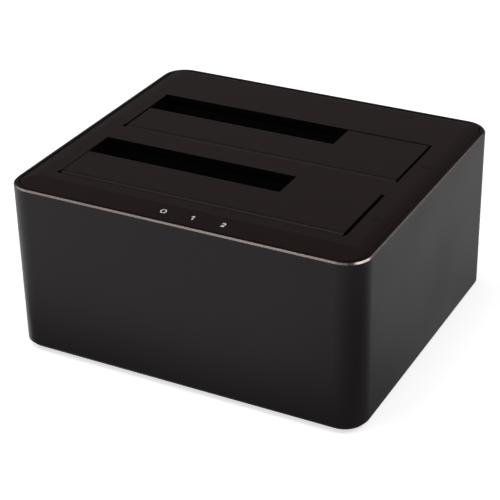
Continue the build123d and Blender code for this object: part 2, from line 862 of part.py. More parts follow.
def jack_mouth():
    """The y of the jack's mouth, just inside the sleeve's outer face."""
    return half_depth - jack_cut_gap


def dc_jack_body():
    """The power jack's moulded body, with its round nose in the sleeve's hole."""
    face = inner_half_depth - fit_gap
    half = jack_width / 2
    body = block(jack_x - half, jack_x + half, face - jack_depth, face, board_top, board_top + jack_height)
    body = body + rod_y(jack_x, jack_axis_z, jack_nose_radius, face - jack_depth / 2, jack_mouth())
    bore_bottom = jack_mouth() - jack_bore_depth
    return body - rod_y(jack_x, jack_axis_z, jack_bore_radius, bore_bottom, jack_mouth() + overrun)


def dc_jack_pin():
    """The jack's centre pin, standing on the bottom of its bore."""
    start = jack_mouth() - jack_bore_depth
    pin = rod_y(jack_x, jack_axis_z, jack_pin_radius, start, start + jack_pin_length)
    tip = pin.edges().group_by(Axis.Y)[-1]
    return fillet(tip, jack_pin_radius / 2)


def jack_tail_places():
    """The x and y of the jack's three tails."""
    back = inner_half_depth - fit_gap - jack_depth
    side = jack_width / 2 - jack_tail_width
    middle = back + jack_depth / 2
    return [(jack_x, back + jack_tail_width), (jack_x, middle), (jack_x - side, middle - jack_tail_width)]


def dc_jack_terminals():
    """The jack's three flat tails, through the board."""
    size = (jack_tail_width, jack_tail_thickness)
    bottom = board_top - jack_tail_length
    return [slab(x, y, *size, bottom, board_top) for x, y in jack_tail_places()]


def switch_housing():
    """The switch's snap-in housing: bezel, body, pocket and the bores of the rocker's stubs."""
    half_w = switch_cut_width / 2 - switch_body_gap
    half_h = switch_cut_height / 2 - switch_body_gap
    body = block(
        switch_x - half_w,
        switch_x + half_w,
        half_depth - switch_body_depth,
        half_depth + bezel_thickness / 2,
        switch_z - half_h,
        switch_z + half_h,
    )
    bezel = RectangleRounded(bezel_width, bezel_height, bezel_thickness)
    body = body + Pos(switch_x, half_depth, switch_z) * extrude(Plane.XZ * bezel, -bezel_thickness)
    pocket_w = rocker_width / 2 + rocker_side_gap
    pocket_h = rocker_half_height + rocker_end_gap
    heel_y = rocker_axis_y - rocker_heel - rocker_pocket_gap - rocker_end_gap
    body = body - block(
        switch_x - pocket_w,
        switch_x + pocket_w,
        heel_y,
        half_depth + overrun,
        switch_z - pocket_h,
        switch_z + pocket_h,
    )
    return body - rod_x(
        rocker_axis_y,
        switch_z,
        rocker_stub_radius + running_gap,
        switch_x - half_w - overrun,
        switch_x + half_w + overrun,
    )


def switch_rocker():
    """The rocker, tipped to its off position, with a stub at each side."""
    tip = rocker_face + rocker_tip_rise
    outline = Polyline(
        (-rocker_heel, -rocker_half_height),
        (tip, -rocker_half_height),
        (rocker_face, 0),
        (tip, rocker_half_height),
        (-rocker_heel, rocker_half_height),
        close=True,
    )
    rocker = extrude(Plane.YZ * make_face(outline), rocker_width / 2, both=True)
    reach = rocker_width / 2 + rocker_stub_length
    rocker = rocker + rod_x(0, 0, rocker_stub_radius, -reach, reach)
    return Pos(switch_x, rocker_axis_y, switch_z) * Rot(rocker_tilt, 0, 0) * rocker


def terminal_heights():
    """The z of the switch's two blades."""
    return [switch_z - terminal_pitch / 2, switch_z + terminal_pitch / 2]


def switch_terminals():
    """The switch's two blades, out of the back of its housing."""
    end = half_depth - switch_body_depth
    half_w = terminal_width / 2
    thick = terminal_thickness / 2
    return [
        block(switch_x - half_w, switch_x + half_w, end - terminal_length, end, z - thick, z + thick)
        for z in terminal_heights()
    ]


def switch_leads():
    """The two leads: out from a blade, round one bend and down to the board, side by side."""
    leads = []
    start_y = half_depth - switch_body_depth - terminal_length
    for side, z in zip((-1, 1), terminal_heights()):
        x = switch_x + side * lead_radius
        bend_y = start_y - lead_run
        path = Line((x, start_y, z), (x, bend_y, z))
        path += TangentArc((x, bend_y, z), (x, bend_y - lead_bend, z - lead_bend), tangent=(0, -1, 0))
        path += Line((x, bend_y - lead_bend, z - lead_bend), (x, bend_y - lead_bend, board_top))
        section = Plane((x, start_y, z), z_dir=(0, -1, 0)) * Circle(lead_radius - seat_gap)
        leads.append(sweep(section, path))
    return leads


# Indicators
def light_guide(index):
    """A clear guide: a shaft from over its lamp to the panel, and a head in the mark's shape."""
    x = mark_places[index]
    shaft = post(x, mark_y, guide_radius, board_top + lamp_height + lamp_gap, ledge_z)
    glyph = mark_glyphs()[index]
    head = extrude(Pos(x, mark_y, ledge_z) * glyph, rebate_depth + plateau_rise)
    head = head & panel_blank(ledge_z)
    return shaft + head


def indicator_leds():
    """The three lamps on the board, one under each guide."""
    y = max(mark_y, -board_half_depth + lamp_width)
    top = board_top + lamp_height
    return [slab(x, y, lamp_length, lamp_width, board_top, top) for x in mark_places]


# Board parts
def chip(x, y, width, depth, height, leads, all_round):
    """A moulded chip just over the board, with leads along its front and back or all round."""
    bottom = board_top + chip_stand_off
    lead_top = board_top + lead_thickness
    run = lead_reach + lead_reach
    body = slab(x, y, width, depth, bottom, bottom + height)
    for k in range(leads):
        shift = (k - (leads - 1) / 2) * lead_pitch
        for side in (-1, 1):
            body = body + slab(x + shift, y + side * depth / 2, lead_width, run, board_top, lead_top)
            if all_round:
                body = body + slab(x + side * width / 2, y + shift, run, lead_width, board_top, lead_top)
    return body


def bridge_controller():
    """The square controller between the data port and the sockets."""
    size = controller_size
    return chip(controller_x, controller_y, size, size, controller_height, controller_leads, True)


def flash_memory():
    """The small memory that holds the controller's program."""
    return chip(flash_x, flash_y, flash_length, flash_width, flash_height, flash_leads, False)


def regulators():
    """The voltage regulators, flat on the board."""
    places = [regulator_y - k * regulator_pitch for k in range(regulator_count)]
    size = regulator_size
    top = board_top + regulator_height
    return [slab(regulator_x, y, size, size, board_top, top) for y in places]


def capacitors():
    """The round capacitors behind the rear well, each on its square base."""
    cans = []
    base_top = board_top + capacitor_base_height
    for k in range(capacitor_count):
        x = capacitor_x + k * capacitor_pitch
        base = slab(x, capacitor_y, capacitor_base, capacitor_base, board_top, base_top)
        cans.append(base + post(x, capacitor_y, capacitor_radius, board_top, board_top + capacitor_height))
    return cans


def inductors():
    """The square inductors beside the capacitors."""
    places = [inductor_x + k * inductor_pitch for k in range(inductor_count)]
    size = inductor_size
    top = board_top + inductor_height
    return [slab(x, inductor_y, size, size, board_top, top) for x in places]


def crystal():
    """The controller's clock crystal."""
    top = board_top + crystal_height
    return slab(crystal_x, crystal_y, crystal_length, crystal_width, board_top, top)


# Fasteners
def screw(x, y, seat_z, shank_sign, radius, length, head_radius, head_height):
    """A cross-recessed screw: its head on one side of seat_z and its shank on the other."""
    shank_z = sorted((seat_z, seat_z + shank_sign * length))
    outer = seat_z - shank_sign * head_height
    head_z = sorted((seat_z, outer))
    body = post(x, y, radius, *shank_z) + post(x, y, head_radius, *head_z)
    recess_z = sorted(((seat_z + outer) / 2, outer - shank_sign * overrun))
    arm = head_radius * screw_recess_share
    recess_width = arm * screw_recess_share
    body = body - slab(x, y, arm + arm, recess_width, *recess_z)
    return body - slab(x, y, recess_width, arm + arm, *recess_z)


def small_screw(x, y, seat_z):
    """One of the small screws, driven from above."""
    head = (small_screw_head_radius, small_screw_head_height)
    return screw(x, y, seat_z, -1, small_screw_radius, small_screw_length, *head)


def case_screws():
    """The four screws that pull the tray up against the panel's posts."""
    seat = tray_bottom + tower_seat_height
    head = (screw_head_radius, screw_head_height)
    return [screw(x, y, seat, 1, screw_radius, screw_length, *head) for x, y in post_places]


def board_screws():
    """The four screws that hold the board on its standoffs."""
    return [small_screw(x, y, board_top) for x, y in board_screw_places]


def cage_screws():
    """The four screws through the cages' ears."""
    return [small_screw(x, y, cage_floor_top) for x, y in cage_screw_places]


# Every node of the dock
os.makedirs("parts", exist_ok=True)
write("outer_shell", outer_shell())
write("top_panel", top_panel())
write("base_tray", base_tray())
for place in foot_places:
    write("foot_" + place, foot(place))
for bay in bay_fronts:
    write("drive_cage_" + bay, drive_cage(bay))
    write("door_" + bay, door(bay))
    write("door_pin_" + bay, door_pin(bay))
    write("door_spring_" + bay, door_spring(bay))
    write("sata_socket_" + bay, sata_socket(bay))
    write("sata_contacts_" + bay, sata_contacts(bay))
write("main_board", main_board())
write("usb_port_shell", usb_port_shell())
write("usb_port_insulator", usb_port_insulator())
write("usb_contacts", usb_contacts())
write("dc_jack_body", dc_jack_body())
write("dc_jack_pin", dc_jack_pin())
write("dc_jack_terminals", dc_jack_terminals())
write("switch_housing", switch_housing())
write("switch_rocker", switch_rocker())
write("switch_terminals", switch_terminals())
write("switch_leads", switch_leads())
for index, name in enumerate(mark_names):
    write("light_guide_" + name, light_guide(index))
write("indicator_leds", indicator_leds())
write("bridge_controller", bridge_controller())
write("flash_memory", flash_memory())
write("regulators", regulators())
write("capacitors", capacitors())
write("inductors", inductors())
write("crystal", crystal())
write("case_screws", case_screws())
write("board_screws", board_screws())
write("cage_screws", cage_screws())
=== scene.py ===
import json
import math

import bpy
from mathutils import Euler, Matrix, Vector


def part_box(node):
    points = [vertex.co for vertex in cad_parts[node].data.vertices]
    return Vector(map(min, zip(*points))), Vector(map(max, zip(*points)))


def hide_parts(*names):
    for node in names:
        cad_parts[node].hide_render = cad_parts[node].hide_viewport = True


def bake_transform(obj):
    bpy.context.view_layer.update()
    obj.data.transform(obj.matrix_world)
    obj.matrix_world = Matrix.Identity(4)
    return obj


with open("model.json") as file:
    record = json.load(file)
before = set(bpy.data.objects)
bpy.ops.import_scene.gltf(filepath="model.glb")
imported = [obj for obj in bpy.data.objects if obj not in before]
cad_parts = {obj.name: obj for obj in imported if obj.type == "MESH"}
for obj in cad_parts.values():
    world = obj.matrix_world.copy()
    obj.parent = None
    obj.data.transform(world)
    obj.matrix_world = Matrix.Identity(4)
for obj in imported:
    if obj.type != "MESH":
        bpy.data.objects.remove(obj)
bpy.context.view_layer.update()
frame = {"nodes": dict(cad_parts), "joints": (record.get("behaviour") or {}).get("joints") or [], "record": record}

# A free-standing drive dock in a plain pale studio. Metres, in the part's own frame.
mm = 0.001
shell_low, shell_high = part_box("outer_shell")
rim_top = shell_high.z
panel_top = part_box("top_panel")[1].z
board_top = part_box("main_board")[1].z


# Camera, placed by the edges of the sleeve and the openings in the photograph
camera_place = (222.1 * mm, -425.0 * mm, 288.3 * mm)
camera_turn_degrees = (61.17, 0.97, 27.37)
camera_focal_length = 112.92
camera_sensor = 36.0
camera_reach = 20.0


def set_camera():
    """A long lens, looking down on the front and right faces."""
    data = bpy.data.cameras.new("camera")
    data.sensor_width = camera_sensor
    data.lens = camera_focal_length
    data.clip_end = camera_reach
    camera = bpy.data.objects.new("camera", data)
    camera.location = camera_place
    camera.rotation_euler = Euler([math.radians(turn) for turn in camera_turn_degrees])
    bpy.context.scene.collection.objects.link(camera)
    bpy.context.scene.camera = camera


# A Mix node's colour sockets share their names with its other sockets, so they go by number
mix_share = 0
mix_first = 6
mix_second = 7
mix_result = 2

# Most of a noise's values lie between these
noise_range = {"From Min": 0.3, "From Max": 0.7}


def linear(code):
    """An sRGB hex colour as linear red, green, blue and alpha."""
    values = []
    for start in (1, 3, 5):
        value = int(code[start:start + 2], 16) / 255
        values.append(value / 12.92 if value <= 0.04045 else ((value + 0.055) / 1.055) ** 2.4)
    return (*values, 1.0)


def wire(node, sockets):
    """Gives each socket its value, its hex colour or the output that feeds it."""
    for name, value in sockets.items():
        if isinstance(value, bpy.types.NodeSocket):
            node.id_data.links.new(value, node.inputs[name])
        else:
            node.inputs[name].default_value = linear(value) if isinstance(value, str) else value


def add(tree, kind, output, sockets=None, **settings):
    """Adds a node with its settings, values and links, and gives back one of its outputs."""
    node = tree.nodes.new(kind)
    for name, value in settings.items():
        setattr(node, name, value)
    wire(node, sockets or {})
    return node.outputs[output]


def start_material(name, colour, roughness):
    """A material with its shader and tree, in a plain colour and roughness until nodes feed them."""
    material = bpy.data.materials.new(name)
    material.use_nodes = True
    material.diffuse_color = linear(colour)
    tree = material.node_tree
    shader = tree.nodes["Principled BSDF"]
    wire(shader, {"Base Color": colour, "Roughness": roughness})
    return material, shader, tree


# Sleeve, panel and doors
def anodised_aluminium():
    """Aluminium, bead blasted and anodised black: an even satin that spreads its highlights wide.

    The chamfer round its top was cut afterwards, so it is bare and bright. The flat rim inside it is painted near
    black: painted shade that stands in for the dark seam beside the panel.
    """
    # The real pits are about half as wide, too fine to show
    pit_size = 0.12 * mm
    pit_depth = 0.004 * mm
    patch_size = 30 * mm
    rim_drop = 0.75 * mm
    chamfer_tilt = 0.4
    rim_tilt = 0.95
    smoothest = 0.31
    roughest = 0.37
    cut_roughness = 0.22
    shine = 0.14
    material, shader, tree = start_material("bead_blasted_anodised_aluminium", "#262223", 0.34)
    place = add(tree, "ShaderNodeTexCoord", "Object")
    pits = add(tree, "ShaderNodeTexNoise", "Fac", {"Vector": place, "Scale": 1 / pit_size, "Detail": 2.0})
    mottling = {"Vector": place, "Scale": 1 / patch_size, "Detail": 2.0}
    patches = add(tree, "ShaderNodeTexNoise", "Fac", mottling)
    height = add(tree, "ShaderNodeSeparateXYZ", "Z", {"Vector": place})
    facing = add(tree, "ShaderNodeNewGeometry", "True Normal")
    up = add(tree, "ShaderNodeSeparateXYZ", "Z", {"Vector": facing})
    near_top = add(tree, "ShaderNodeMath", 0, {0: height, 1: rim_top - rim_drop}, operation="GREATER_THAN")
    tilted = add(tree, "ShaderNodeMath", 0, {0: up, 1: chamfer_tilt}, operation="GREATER_THAN")
    level = add(tree, "ShaderNodeMath", 0, {0: up, 1: rim_tilt}, operation="GREATER_THAN")
    rim = add(tree, "ShaderNodeMath", 0, {0: near_top, 1: level}, operation="MULTIPLY")
    sloping = add(tree, "ShaderNodeMath", 0, {0: tilted, 1: level}, operation="SUBTRACT")
    bare = add(tree, "ShaderNodeMath", 0, {0: near_top, 1: sloping}, operation="MULTIPLY")
    black = add(
        tree, "ShaderNodeMix", mix_result,
        {mix_share: patches, mix_first: "#252123", mix_second: "#282325"}, data_type="RGBA",
    )
    chamfered = add(
        tree, "ShaderNodeMix", mix_result,
        {mix_share: bare, mix_first: black, mix_second: "#948782"}, data_type="RGBA",
    )
    # The flat rim is painted near black, as painted shade of the seam beside the panel
    seam_shaded = add(
        tree, "ShaderNodeMix", mix_result,
        {mix_share: rim, mix_first: chamfered, mix_second: "#0d0b0b"}, data_type="RGBA",
    )
    satin = add(tree, "ShaderNodeMapRange", "Result", {
        "Value": patches, **noise_range, "To Min": smoothest, "To Max": roughest,
    })
    roughness = add(tree, "ShaderNodeMix", "Result", {"Factor": bare, "A": satin, "B": cut_roughness})
    blasted = add(tree, "ShaderNodeBump", "Normal", {"Height": pits, "Distance": pit_depth})
    wire(shader, {"Base Color": seam_shaded, "Metallic": bare, "Roughness": roughness, "Normal": blasted})
    wire(shader, {"Specular IOR Level": shine})
    return material


def textured_abs(name, colour, mottle):
    """ABS from a spark-eroded mould: matt and a little mottled, so that it hardly shines.

    Its edges are softly rounded. Its cut walls are painted darker than its top: painted shade in the openings and
    the gaps round the doors.
    """
    # The real grain is about half as wide, too fine to show
    grain_size = 0.16 * mm
    grain_depth = 0.01 * mm
    patch_size = 18 * mm
    edge_radius = 0.3 * mm
    wall_tilt = 0.1
    top_tilt = 0.5
    smoothest = 0.36
    roughest = 0.44
    shine = 0.1
    material, shader, tree = start_material(name, colour, 0.4)
    place = add(tree, "ShaderNodeTexCoord", "Object")
    grain = add(tree, "ShaderNodeTexNoise", "Fac", {"Vector": place, "Scale": 1 / grain_size, "Detail": 4.0})
    mottling = {"Vector": place, "Scale": 1 / patch_size, "Detail": 3.0}
    patches = add(tree, "ShaderNodeTexNoise", "Fac", mottling)
    facing = add(tree, "ShaderNodeNewGeometry", "True Normal")
    up = add(tree, "ShaderNodeSeparateXYZ", "Z", {"Vector": facing})
    top = add(tree, "ShaderNodeMapRange", "Result", {
        "Value": up, "From Min": wall_tilt, "From Max": top_tilt,
    }, interpolation_type="SMOOTHSTEP")
    skin = add(
        tree, "ShaderNodeMix", mix_result,
        {mix_share: patches, mix_first: colour, mix_second: mottle}, data_type="RGBA",
    )
    # Surfaces that face sideways are painted near black, as painted shade in the openings and gaps
    walls_painted_shade = add(
        tree, "ShaderNodeMix", mix_result,
        {mix_share: top, mix_first: "#0b0909", mix_second: skin}, data_type="RGBA",
    )
    roughness = add(tree, "ShaderNodeMapRange", "Result", {
        "Value": grain, **noise_range, "To Min": smoothest, "To Max": roughest,
    })
    rounded = add(tree, "ShaderNodeBevel", "Normal", {"Radius": edge_radius}, samples=6)
    eroded = add(tree, "ShaderNodeBump", "Normal", {
        "Height": grain, "Distance": grain_depth, "Normal": rounded,
    })
    wire(shader, {"Base Color": walls_painted_shade, "Roughness": roughness, "Normal": eroded})
    wire(shader, {"Specular IOR Level": shine})
    return material


def panel_abs():
    """The top panel's ABS: a warm matt black."""
    return textured_abs("textured_abs_of_the_panel", "#1e1313", "#201514")


def door_abs():
    """The doors' ABS, from another mould: a shade greyer than the panel's."""
    return textured_abs("textured_abs_of_the_doors", "#1e1414", "#201515")


# Mouldings and pressings
def grained(name, colour, mottle, roughness, grain_size, grain_depth, shine=0.3):
    """A piece with an even grain all over it: the coarser the grain, the duller it is.

    Each grain is drawn about twice as wide as the real one, which is too fine to show.
    """
    patch_size = 18 * mm
    smoothest = roughness - 0.05
    roughest = roughness + 0.05
    material, shader, tree = start_material(name, colour, roughness)
    place = add(tree, "ShaderNodeTexCoord", "Object")
    grain = add(tree, "ShaderNodeTexNoise", "Fac", {"Vector": place, "Scale": 1 / grain_size, "Detail": 4.0})
    mottling = {"Vector": place, "Scale": 1 / patch_size, "Detail": 3.0}
    patches = add(tree, "ShaderNodeTexNoise", "Fac", mottling)
    skin = add(
        tree, "ShaderNodeMix", mix_result,
        {mix_share: patches, mix_first: colour, mix_second: mottle}, data_type="RGBA",
    )
    uneven = add(tree, "ShaderNodeMapRange", "Result", {
        "Value": grain, **noise_range, "To Min": smoothest, "To Max": roughest,
    })
    raised = add(tree, "ShaderNodeBump", "Normal", {"Height": grain, "Distance": grain_depth})
    wire(shader, {"Base Color": skin, "Roughness": uneven, "Normal": raised})
    wire(shader, {"Specular IOR Level": shine})
    return material


def tray_abs():
    """ABS with a coarse grain: a dull black underside that hides scuffs."""
    return grained(
        "coarse_moulded_abs", "#111112", "#151516", roughness=0.55,
        grain_size=0.3 * mm, grain_depth=0.03 * mm,
    )


def cage_abs():
    """ABS in deep black: the wells look empty from above."""
    return grained(
        "deep_black_moulded_abs", "#070606", "#090808", roughness=0.55,
        grain_size=0.25 * mm, grain_depth=0.02 * mm, shine=0.2,
    )


def socket_nylon():
    """Glass-filled nylon: black, with a low sheen from its fine grain."""
    return grained(
        "moulded_glass_filled_nylon", "#0e0e0f", "#121213", roughness=0.42,
        grain_size=0.2 * mm, grain_depth=0.01 * mm,
    )


def port_nylon():
    """Moulded nylon in the data port and round the power jack: a shade duller than the drive sockets."""
    return grained(
        "moulded_nylon", "#0d0d0e", "#111112", roughness=0.45,
        grain_size=0.2 * mm, grain_depth=0.01 * mm,
    )


def switch_nylon():
    """Nylon from a fine mould: the switch's housing, plain black with a soft sheen."""
    return grained(
        "fine_moulded_nylon", "#0c0c0d", "#101011", roughness=0.4,
        grain_size=0.2 * mm, grain_depth=0.01 * mm,
    )


def lamp_epoxy():
    """Cast epoxy over a phosphor: pale yellow, smooth and waxy."""
    return grained(
        "cast_phosphor_epoxy", "#e6dfb2", "#efe9c4", roughness=0.2,
        grain_size=0.3 * mm, grain_depth=0.002 * mm, shine=0.5,
    )


def chip_epoxy():
    """Moulded epoxy packages: charcoal, with a fine even matt."""
    return grained(
        "moulded_package_epoxy", "#151516", "#1b1b1c", roughness=0.5,
        grain_size=0.15 * mm, grain_depth=0.01 * mm,
    )


def sintered_ferrite():
    """Pressed and sintered ferrite: dark grey and grainy, like fine stone."""
    return grained(
        "sintered_ferrite", "#2b2b2d", "#353537", roughness=0.6,
        grain_size=0.4 * mm, grain_depth=0.03 * mm,
    )


def moulded_rubber():
    """Moulded rubber feet: black and without shine, with patches of grey dust."""
    dust_size = 1.5 * mm
    grain_size = 0.2 * mm
    grain_depth = 0.02 * mm
    material, shader, tree = start_material("moulded_rubber", "#161617", 0.75)
    place = add(tree, "ShaderNodeTexCoord", "Object")
    dust = add(tree, "ShaderNodeTexNoise", "Fac", {"Vector": place, "Scale": 1 / dust_size, "Detail": 5.0})
    grain = add(tree, "ShaderNodeTexNoise", "Fac", {"Vector": place, "Scale": 1 / grain_size, "Detail": 3.0})
    dusty = add(
        tree, "ShaderNodeMix", mix_result,
        {mix_share: dust, mix_first: "#121213", mix_second: "#1e1e1f"}, data_type="RGBA",
    )
    raised = add(tree, "ShaderNodeBump", "Normal", {"Height": grain, "Distance": grain_depth})
    wire(shader, {"Base Color": dusty, "Normal": raised, "Specular IOR Level": 0.3})
    return material


def printed_nylon():
    """The rocker's smooth nylon, pad printed: a pale ring on its upper half and a bar on its lower half."""
    low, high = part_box("switch_rocker")
    middle = (low + high) / 2
    mark_offset = 2.9 * mm
    bar_half_height = 1.1 * mm
    ring_radius = 0.95 * mm
    line_half_width = 0.19 * mm
    grain_size = 0.3 * mm
    grain_depth = 0.01 * mm
    patch_size = 18 * mm
    smoothest = 0.31
    roughest = 0.41
    shine = 0.3
    material, shader, tree = start_material("pad_printed_nylon", "#101011", 0.36)
    place = add(tree, "ShaderNodeTexCoord", "Object")
    across = add(tree, "ShaderNodeSeparateXYZ", "X", {"Vector": place})
    height = across.node.outputs["Z"]
    flat = add(tree, "ShaderNodeCombineXYZ", "Vector", {"X": across, "Z": height})
    ring_middle = (middle.x, 0.0, middle.z + mark_offset)
    away = add(tree, "ShaderNodeVectorMath", "Value", {0: flat, 1: ring_middle}, operation="DISTANCE")
    ring = add(tree, "ShaderNodeMath", 0, {0: away, 1: ring_radius, 2: line_half_width}, operation="COMPARE")
    thin = add(tree, "ShaderNodeMath", 0, {0: across, 1: middle.x, 2: line_half_width}, operation="COMPARE")
    short = add(
        tree, "ShaderNodeMath", 0,
        {0: height, 1: middle.z - mark_offset, 2: bar_half_height}, operation="COMPARE",
    )
    printed = add(tree, "ShaderNodeMath", 0, {0: thin, 1: short, 2: ring}, operation="MULTIPLY_ADD")
    grain = add(tree, "ShaderNodeTexNoise", "Fac", {"Vector": place, "Scale": 1 / grain_size, "Detail": 4.0})
    mottling = {"Vector": place, "Scale": 1 / patch_size, "Detail": 3.0}
    patches = add(tree, "ShaderNodeTexNoise", "Fac", mottling)
    black = add(
        tree, "ShaderNodeMix", mix_result,
        {mix_share: patches, mix_first: "#101011", mix_second: "#141415"}, data_type="RGBA",
    )
    marked = add(
        tree, "ShaderNodeMix", mix_result,
        {mix_share: printed, mix_first: black, mix_second: "#c9c9c6"}, data_type="RGBA",
    )
    roughness = add(tree, "ShaderNodeMapRange", "Result", {
        "Value": grain, **noise_range, "To Min": smoothest, "To Max": roughest,
    })
    raised = add(tree, "ShaderNodeBump", "Normal", {"Height": grain, "Distance": grain_depth})
    wire(shader, {"Base Color": marked, "Roughness": roughness, "Normal": raised})
    wire(shader, {"Specular IOR Level": shine})
    return material


def filled_acrylic():
    """Clear moulded acrylic, a little hazy, with a head filled with white that reads as a printed mark."""
    head_depth = 3.2 * mm
    haze_size = 4 * mm
    grain_size = 0.3 * mm
    grain_depth = 0.002 * mm
    material, shader, tree = start_material("clear_moulded_acrylic", "#e9ecee", 0.12)
    place = add(tree, "ShaderNodeTexCoord", "Object")
    height = add(tree, "ShaderNodeSeparateXYZ", "Z", {"Vector": place})
    head = add(tree, "ShaderNodeMath", 0, {0: height, 1: panel_top - head_depth}, operation="GREATER_THAN")
    stem = add(tree, "ShaderNodeMath", 0, {0: 1.0, 1: head}, operation="SUBTRACT")
    haze = add(tree, "ShaderNodeTexNoise", "Fac", {"Vector": place, "Scale": 1 / haze_size, "Detail": 3.0})
    grain = add(tree, "ShaderNodeTexNoise", "Fac", {"Vector": place, "Scale": 1 / grain_size, "Detail": 3.0})
    hazy = add(
        tree, "ShaderNodeMix", mix_result,
        {mix_share: haze, mix_first: "#c9d2d6", mix_second: "#dfe6e8"}, data_type="RGBA",
    )
    filled = add(
        tree, "ShaderNodeMix", mix_result,
        {mix_share: head, mix_first: hazy, mix_second: "#dadada"}, data_type="RGBA",
    )
    raised = add(tree, "ShaderNodeBump", "Normal", {"Height": grain, "Distance": grain_depth})
    wire(shader, {"Base Color": filled, "Transmission Weight": stem, "Normal": raised, "IOR": 1.49})
    return material


def lead_pvc():
    """Extruded PVC sleeves: one red lead and one black, waxy and slightly wavy."""
    wave_size = 1.2 * mm
    wave_depth = 0.02 * mm
    low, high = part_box("switch_leads")
    material, shader, tree = start_material("extruded_pvc", "#8e1414", 0.42)
    place = add(tree, "ShaderNodeTexCoord", "Object")
    across = add(tree, "ShaderNodeSeparateXYZ", "X", {"Vector": place})
    right = add(tree, "ShaderNodeMath", 0, {0: across, 1: (low.x + high.x) / 2}, operation="GREATER_THAN")
    waves = add(tree, "ShaderNodeTexNoise", "Fac", {"Vector": place, "Scale": 1 / wave_size, "Detail": 3.0})
    paired = add(
        tree, "ShaderNodeMix", mix_result,
        {mix_share: right, mix_first: "#8e1414", mix_second: "#111112"}, data_type="RGBA",
    )
    wavy = add(tree, "ShaderNodeBump", "Normal", {"Height": waves, "Distance": wave_depth})
    wire(shader, {"Base Color": paired, "Normal": wavy})
    return material


# Metals
def drawn_metal(name, colour, roughness, mark_size, stretch):
    """Bare metal with fine marks that are longest where stretch is least: its reflections streak that way.

    The marks are drawn many times as wide as the real ones, which are too fine to show.
    """
    mark_depth = 0.0006 * mm
    smoothest = roughness - 0.03
    roughest = roughness + 0.05
    material, shader, tree = start_material(name, colour, roughness)
    place = add(tree, "ShaderNodeTexCoord", "Object")
    drawn = add(tree, "ShaderNodeMapping", "Vector", {"Vector": place, "Scale": stretch})
    marks = add(tree, "ShaderNodeTexNoise", "Fac", {"Vector": drawn, "Scale": 1 / mark_size, "Detail": 4.0})
    streaks = add(tree, "ShaderNodeMapRange", "Result", {
        "Value": marks, **noise_range, "To Min": smoothest, "To Max": roughest,
    })
    scored = add(tree, "ShaderNodeBump", "Normal", {"Height": marks, "Distance": mark_depth})
    wire(shader, {"Roughness": streaks, "Normal": scored, "Metallic": 1.0})
    return material


def gold_plate():
    """Contacts of flash gold over nickel: warm yellow, wiped along their height."""
    return drawn_metal(
        "flash_gold_plate", "#e0b35c", roughness=0.25,
        mark_size=0.2 * mm, stretch=(1.0, 1.0, 0.1),
    )


def drawn_pin_steel():
    """Drawn stainless steel rod: the hinge pins, bright and streaked along their length."""
    return drawn_metal(
        "drawn_stainless_steel", "#b5b6b8", roughness=0.28,
        mark_size=0.1 * mm, stretch=(0.1, 1.0, 1.0),
    )


def spring_wire():
    """Music wire: grey and evenly bright."""
    return drawn_metal(
        "music_wire", "#a3a4a6", roughness=0.3,
        mark_size=0.1 * mm, stretch=(1.0, 1.0, 1.0),
    )


def port_tinplate():
    """Stamped and tinned steel: the data port's shell, whitish with soft streaks from front to back."""
    return drawn_metal(
        "stamped_tinned_steel", "#c3c2be", roughness=0.26,
        mark_size=0.3 * mm, stretch=(1.0, 0.1, 1.0),
    )


def jack_nickel():
    """Nickel-plated brass: the power jack's pin and the terminals, slightly yellow and bright."""
    return drawn_metal(
        "nickel_plated_brass", "#c0bdb4", roughness=0.25,
        mark_size=0.2 * mm, stretch=(1.0, 0.2, 1.0),
    )


def crystal_nickel():
    """Drawn nickel silver: the crystal's can, with soft reflections."""
    return drawn_metal(
        "drawn_nickel_silver", "#bfbfbd", roughness=0.28,
        mark_size=0.3 * mm, stretch=(1.0, 0.3, 1.0),
    )


def screw_zinc():
    """Zinc-plated steel: the screws, a duller grey than the other metals."""
    return drawn_metal(
        "zinc_plated_steel", "#8d8e90", roughness=0.32,
        mark_size=0.15 * mm, stretch=(1.0, 1.0, 0.3),
    )


def capacitor_can():
    """Deep-drawn aluminium cans on black bases: pale, with a dark printed patch at the back of each top."""
    base_height = 1.01 * mm
    print_band = 0.05 * mm
    print_start = 4.4 * mm
    grain_size = 0.3 * mm
    grain_depth = 0.004 * mm
    low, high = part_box("capacitors")
    material, shader, tree = start_material("deep_drawn_aluminium", "#b9bbbd", 0.3)
    place = add(tree, "ShaderNodeTexCoord", "Object")
    height = add(tree, "ShaderNodeSeparateXYZ", "Z", {"Vector": place})
    along = height.node.outputs["Y"]
    can = add(tree, "ShaderNodeMath", 0, {0: height, 1: board_top + base_height}, operation="GREATER_THAN")
    top = add(tree, "ShaderNodeMath", 0, {0: height, 1: high.z - print_band}, operation="GREATER_THAN")
    back = add(tree, "ShaderNodeMath", 0, {0: along, 1: low.y + print_start}, operation="GREATER_THAN")
    printed = add(tree, "ShaderNodeMath", 0, {0: top, 1: back}, operation="MULTIPLY")
    grain = add(tree, "ShaderNodeTexNoise", "Fac", {"Vector": place, "Scale": 1 / grain_size, "Detail": 3.0})
    marked = add(
        tree, "ShaderNodeMix", mix_result,
        {mix_share: printed, mix_first: "#b9bbbd", mix_second: "#1a1b1d"}, data_type="RGBA",
    )
    based = add(
        tree, "ShaderNodeMix", mix_result,
        {mix_share: can, mix_first: "#131314", mix_second: marked}, data_type="RGBA",
    )
    raised = add(tree, "ShaderNodeBump", "Normal", {"Height": grain, "Distance": grain_depth})
    wire(shader, {"Base Color": based, "Metallic": can, "Normal": raised})
    return material


